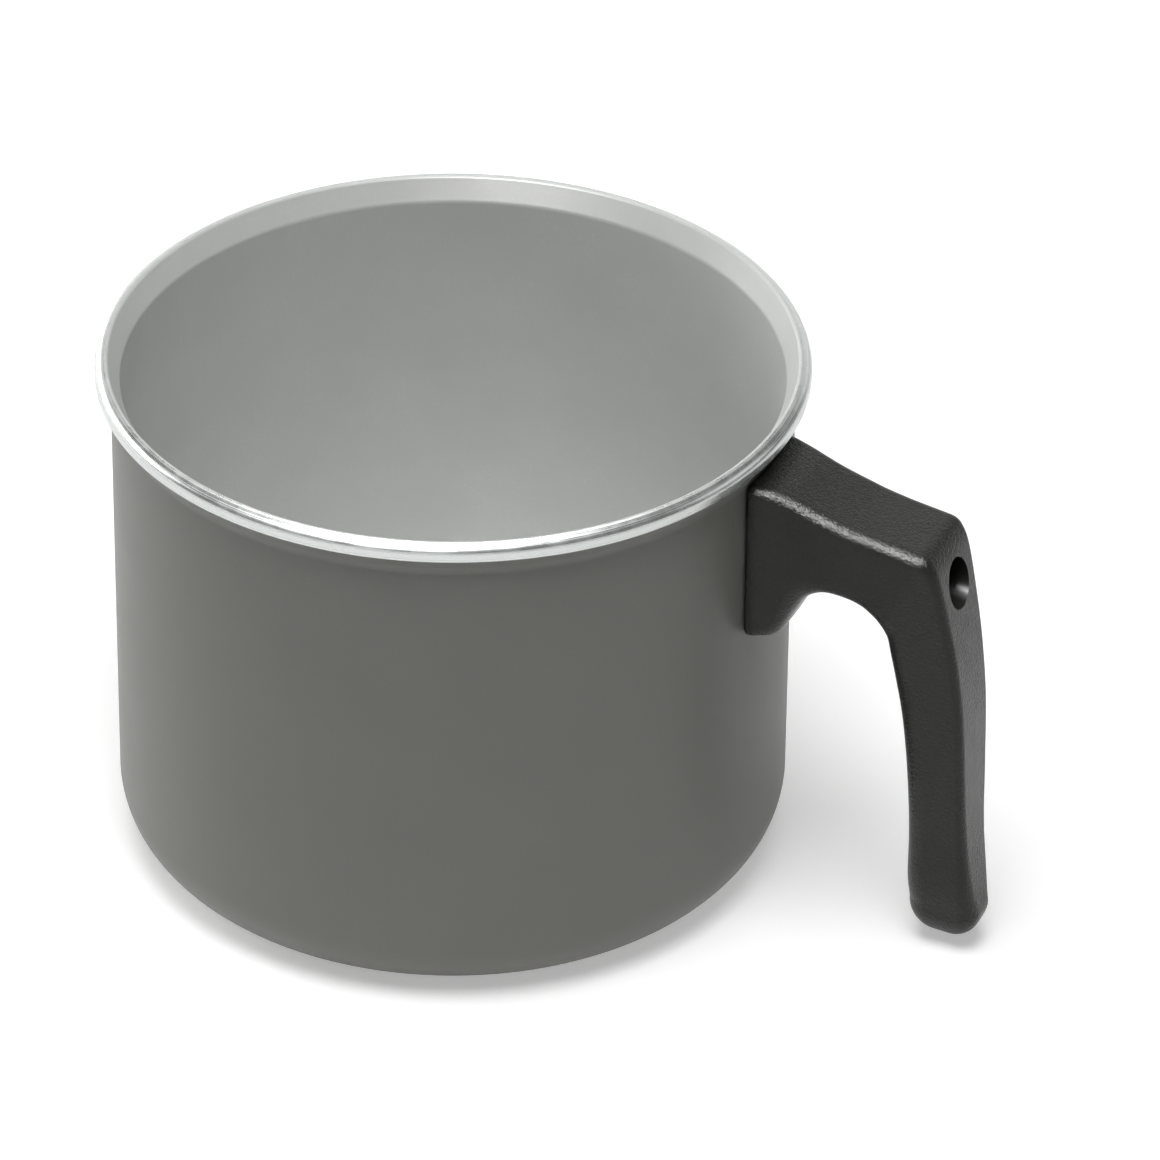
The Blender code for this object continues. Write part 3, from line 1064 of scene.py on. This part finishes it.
    def socket(self, piece: Workpiece) -> None:
        """Cuts the socket over the bracket's plate into the root.

        Args:
            piece: The handle.
        """
        outer = self.seat_radius() + self.plate_thickness + TOUCH_GAP
        inner = self.seat_radius() - self.root_edge_radius
        reach_to = self.depth_at(self.seat_radius() + self.plate_thickness)
        middle = (self.bore_frame() @ Vector((0, 0, reach_to))).z
        half_height = self.plate_height / 2 + TOUCH_GAP
        angle = 2 * math.asin((self.plate_width / 2 + TOUCH_GAP) / inner)
        tool = Workpiece("socket", bpy.ops.mesh.primitive_plane_add, size=1)
        tool.stretch((outer - inner, 2 * half_height, 1), ORIGIN)
        tool.turn(math.pi / 2, Axis.ALONG, ORIGIN)
        tool.slide(((inner + outer) / 2, 0, middle))
        tool.turn(angle / 2, Axis.UPWARD, ORIGIN)
        bpy.ops.mesh.spin(steps=self.socket_steps, angle=angle, center=ORIGIN, axis=(0, 0, 1))
        tool.outward()
        tool.close()
        piece.cut(tool)

    def in_bore(self, face: Face) -> bool:
        """Whether a face lies in the bore, whose core pin leaves it smooth."""
        place = self.bore_frame().inverted() @ face.calc_center_median()
        return math.hypot(place.x, place.y) < self.bore_radius < 2 * place.z

    def build(self) -> bpy.types.Object:
        """Draws, rounds and drills the handle.

        Returns:
            The finished piece.
        """
        piece = self.draw_out()
        piece.outward()
        piece.close()
        widest = self.widest_edge()
        piece.settle(
            "long_edges",
            "BEVEL",
            width=widest,
            segments=self.edge_segments,
            limit_method="WEIGHT",
            use_clamp_overlap=False,
        )
        piece.open()
        self.score(piece)
        self.close_end(piece)
        piece.outward()
        piece.close()
        self.wrap(piece)
        root = self.depth_at(self.seat_radius())
        self.socket(piece)
        boss, floor = self.boss_end(), self.bore_floor()
        self.drill(piece, self.boss_radius + TOUCH_GAP, boss - TOUCH_GAP, root)
        self.drill(piece, self.shank_radius + TOUCH_GAP, floor - CUT_OVERRUN, boss)
        self.drill(piece, self.bore_radius, -self.bore_radius, floor)
        piece.dress(BLACK_PHENOLIC.material(), BORE_PHENOLIC.material())
        piece.open()
        piece.paint(1, self.in_bore)
        piece.close()
        piece.smooth()
        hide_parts("handle")
        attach(piece.item, "root")
        return piece.item


@dataclass
class Fittings:
    """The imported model's own small pieces, which only need their finish."""

    def build(self) -> list[bpy.types.Object]:
        """Gives the bracket, the washer and the screw their finishes.

        Returns:
            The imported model's objects.
        """
        plate = ZINC_PLATE.material()
        finishes = {
            "handle_bracket": BRACKET_SHEET.material(),
            "lock_washer": plate,
            "handle_screw": plate,
        }
        for name, material in finishes.items():
            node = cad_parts[name]
            node.data.materials.clear()
            node.data.materials.append(material)
        return [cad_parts[name] for name in finishes]


@dataclass(frozen=True)
class Softbox:
    """One soft lamp, placed as the camera sees the pot.

    Attributes:
        name: The lamp's name.
        right: Its distance to the right of the pot's axis.
        away: Its distance beyond the pot's axis.
        up: Its height above the floor.
        size: Its width and height.
        watts: Its power.
        only_shines: Whether it only shows as a highlight.
    """

    name: str
    right: float
    away: float
    up: float
    size: tuple[float, float]
    watts: float
    only_shines: bool = False

    def hang(self, heading: float, target: Vector) -> None:
        """Hangs the lamp and aims it.

        Args:
            heading: The camera's turn about the pot's axis.
            target: The point that it is aimed at.
        """
        data = bpy.data.lights.new(self.name, "AREA")
        data.shape = "RECTANGLE"
        data.size, data.size_y = self.size
        data.energy = self.watts
        lamp = bpy.data.objects.new(self.name, data)
        lamp.visible_diffuse = not self.only_shines
        bpy.context.collection.objects.link(lamp)
        place = Matrix.Rotation(heading, 3, "Z") @ Vector((self.right, self.away, self.up))
        turn = (target - place).to_track_quat("-Z", "Y").to_matrix().to_4x4()
        lamp.matrix_world = Matrix.Translation(place) @ turn


@dataclass
class Studio:
    """The pale floor, the soft light and the camera at the photograph's viewing angle."""

    heading: float = math.radians(23)
    pitch: float = 0.58212
    roll: float = 0.01192
    distance: float = 1.69570
    slide_right: float = 0.02695
    slide_up: float = 0.04838
    lens: float = 248.276
    sensor: float = 36.0
    floor_size: float = 12.0
    floor_colour: Colour = (0.86, 0.86, 0.86)
    floor_roughness: float = 0.9
    floor_glow: float = 0.38
    backdrop_size: tuple[float, float] = (6.0, 2.0)
    backdrop_distance: float = 3.0
    backdrop_glow: float = 0.90
    room_light: float = 0.05
    room_shine: float = 0.20
    aim_height: float = 0.06
    softboxes: tuple[Softbox, ...] = (
        Softbox("key", -0.01, -0.41, 1.61, (0.90, 0.90), 19.5),
        Softbox("left", -1.41, 0.57, 0.55, (0.90, 0.60), 8.5),
        Softbox("back_left", -1.05, 1.16, 0.39, (0.90, 0.60), 6.0),
        Softbox("right", 1.46, 0.13, 0.71, (0.90, 0.60), 1.5),
        Softbox("back_top", -0.21, 0.36, 1.61, (0.90, 0.90), 1.5),
        Softbox("glint", -0.37, -0.84, 1.37, (0.50, 0.50), 125.0, only_shines=True),
        Softbox("back_glint", -0.05, 0.70, 1.50, (0.45, 0.60), 8.0, only_shines=True),
    )

    def set_camera(self) -> None:
        """Sets the camera up, level with the photograph's view of the rim and base."""
        data = bpy.data.cameras.new("camera")
        data.lens = self.lens
        data.sensor_width = self.sensor
        data.sensor_fit = "HORIZONTAL"
        camera = bpy.data.objects.new("camera", data)
        bpy.context.collection.objects.link(camera)
        camera.matrix_world = (
            Matrix.Rotation(self.heading, 4, "Z")
            @ Matrix.Rotation(math.pi / 2 - self.pitch, 4, "X")
            @ Matrix.Rotation(self.roll, 4, "Z")
            @ Matrix.Translation((self.slide_right, self.slide_up, self.distance))
        )
        bpy.context.scene.camera = camera

    def pale_cover(self, name: str, glow: float) -> Material:
        """A pale finish, white to the camera and in the metal, which keeps the object's shadow.

        Args:
            name: The material's name.
            glow: How much it shines to the camera and in the metal.

        Returns:
            The material.
        """
        graph = Graph(bpy.data.materials.new(name))
        path = graph.add("ShaderNodeLightPath", {})
        seen = graph.maths("MAXIMUM", path.outputs["Is Camera Ray"], path.outputs["Is Glossy Ray"])
        seen = graph.maths("MAXIMUM", seen, path.outputs["Is Transmission Ray"])
        return graph.finish(
            base_color=(*self.floor_colour, 1),
            roughness=self.floor_roughness,
            specular_ior_level=0.0,
            emission_color=(1, 1, 1, 1),
            emission_strength=graph.maths("MULTIPLY", seen, glow),
        )

    def lay_floor(self) -> None:
        """Lays the floor, and stands the backdrop beyond the object."""
        floor = Workpiece("floor", bpy.ops.mesh.primitive_plane_add, size=self.floor_size)
        floor.close()
        floor.dress(self.pale_cover("studio_floor", self.floor_glow))
        width, height = self.backdrop_size
        backdrop = Workpiece("backdrop", bpy.ops.mesh.primitive_plane_add, size=1)
        backdrop.stretch((width, height, 1), ORIGIN)
        backdrop.turn(math.pi / 2, Axis.ALONG, ORIGIN)
        backdrop.slide((0, self.backdrop_distance, height / 2))
        backdrop.turn(self.heading, Axis.UPWARD, ORIGIN)
        backdrop.close()
        backdrop.dress(self.pale_cover("studio_backdrop", self.backdrop_glow))

    def light(self) -> None:
        """Hangs the softboxes in a dim room, which is paler in the metal."""
        world = bpy.data.worlds.new("room")
        bpy.context.scene.world = world
        graph = Graph(world, "Background")
        glossy = graph.add("ShaderNodeLightPath", {}).outputs["Is Glossy Ray"]
        strength = graph.spread(glossy, self.room_light, self.room_shine, 0.0, 1.0)
        graph.finish(color=(1, 1, 1, 1), strength=strength)
        for softbox in self.softboxes:
            softbox.hang(self.heading, Vector((0, 0, self.aim_height)))

    def build(self) -> None:
        """Sets up the camera, the floor and the light."""
        self.set_camera()
        self.lay_floor()
        self.light()
        bpy.context.scene.view_settings.view_transform = "Standard"


def main() -> None:
    """Builds the studio and every piece, and reports each one."""
    logging.basicConfig(level=logging.INFO, format="%(name)s: %(message)s")
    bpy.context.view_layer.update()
    Studio().build()
    for piece in (PotBody().build(), Handle().build(), *Fittings().build()):
        LOG.info("%s has %d faces", piece.name, len(piece.data.polygons))


if __name__ == "__main__":
    main()
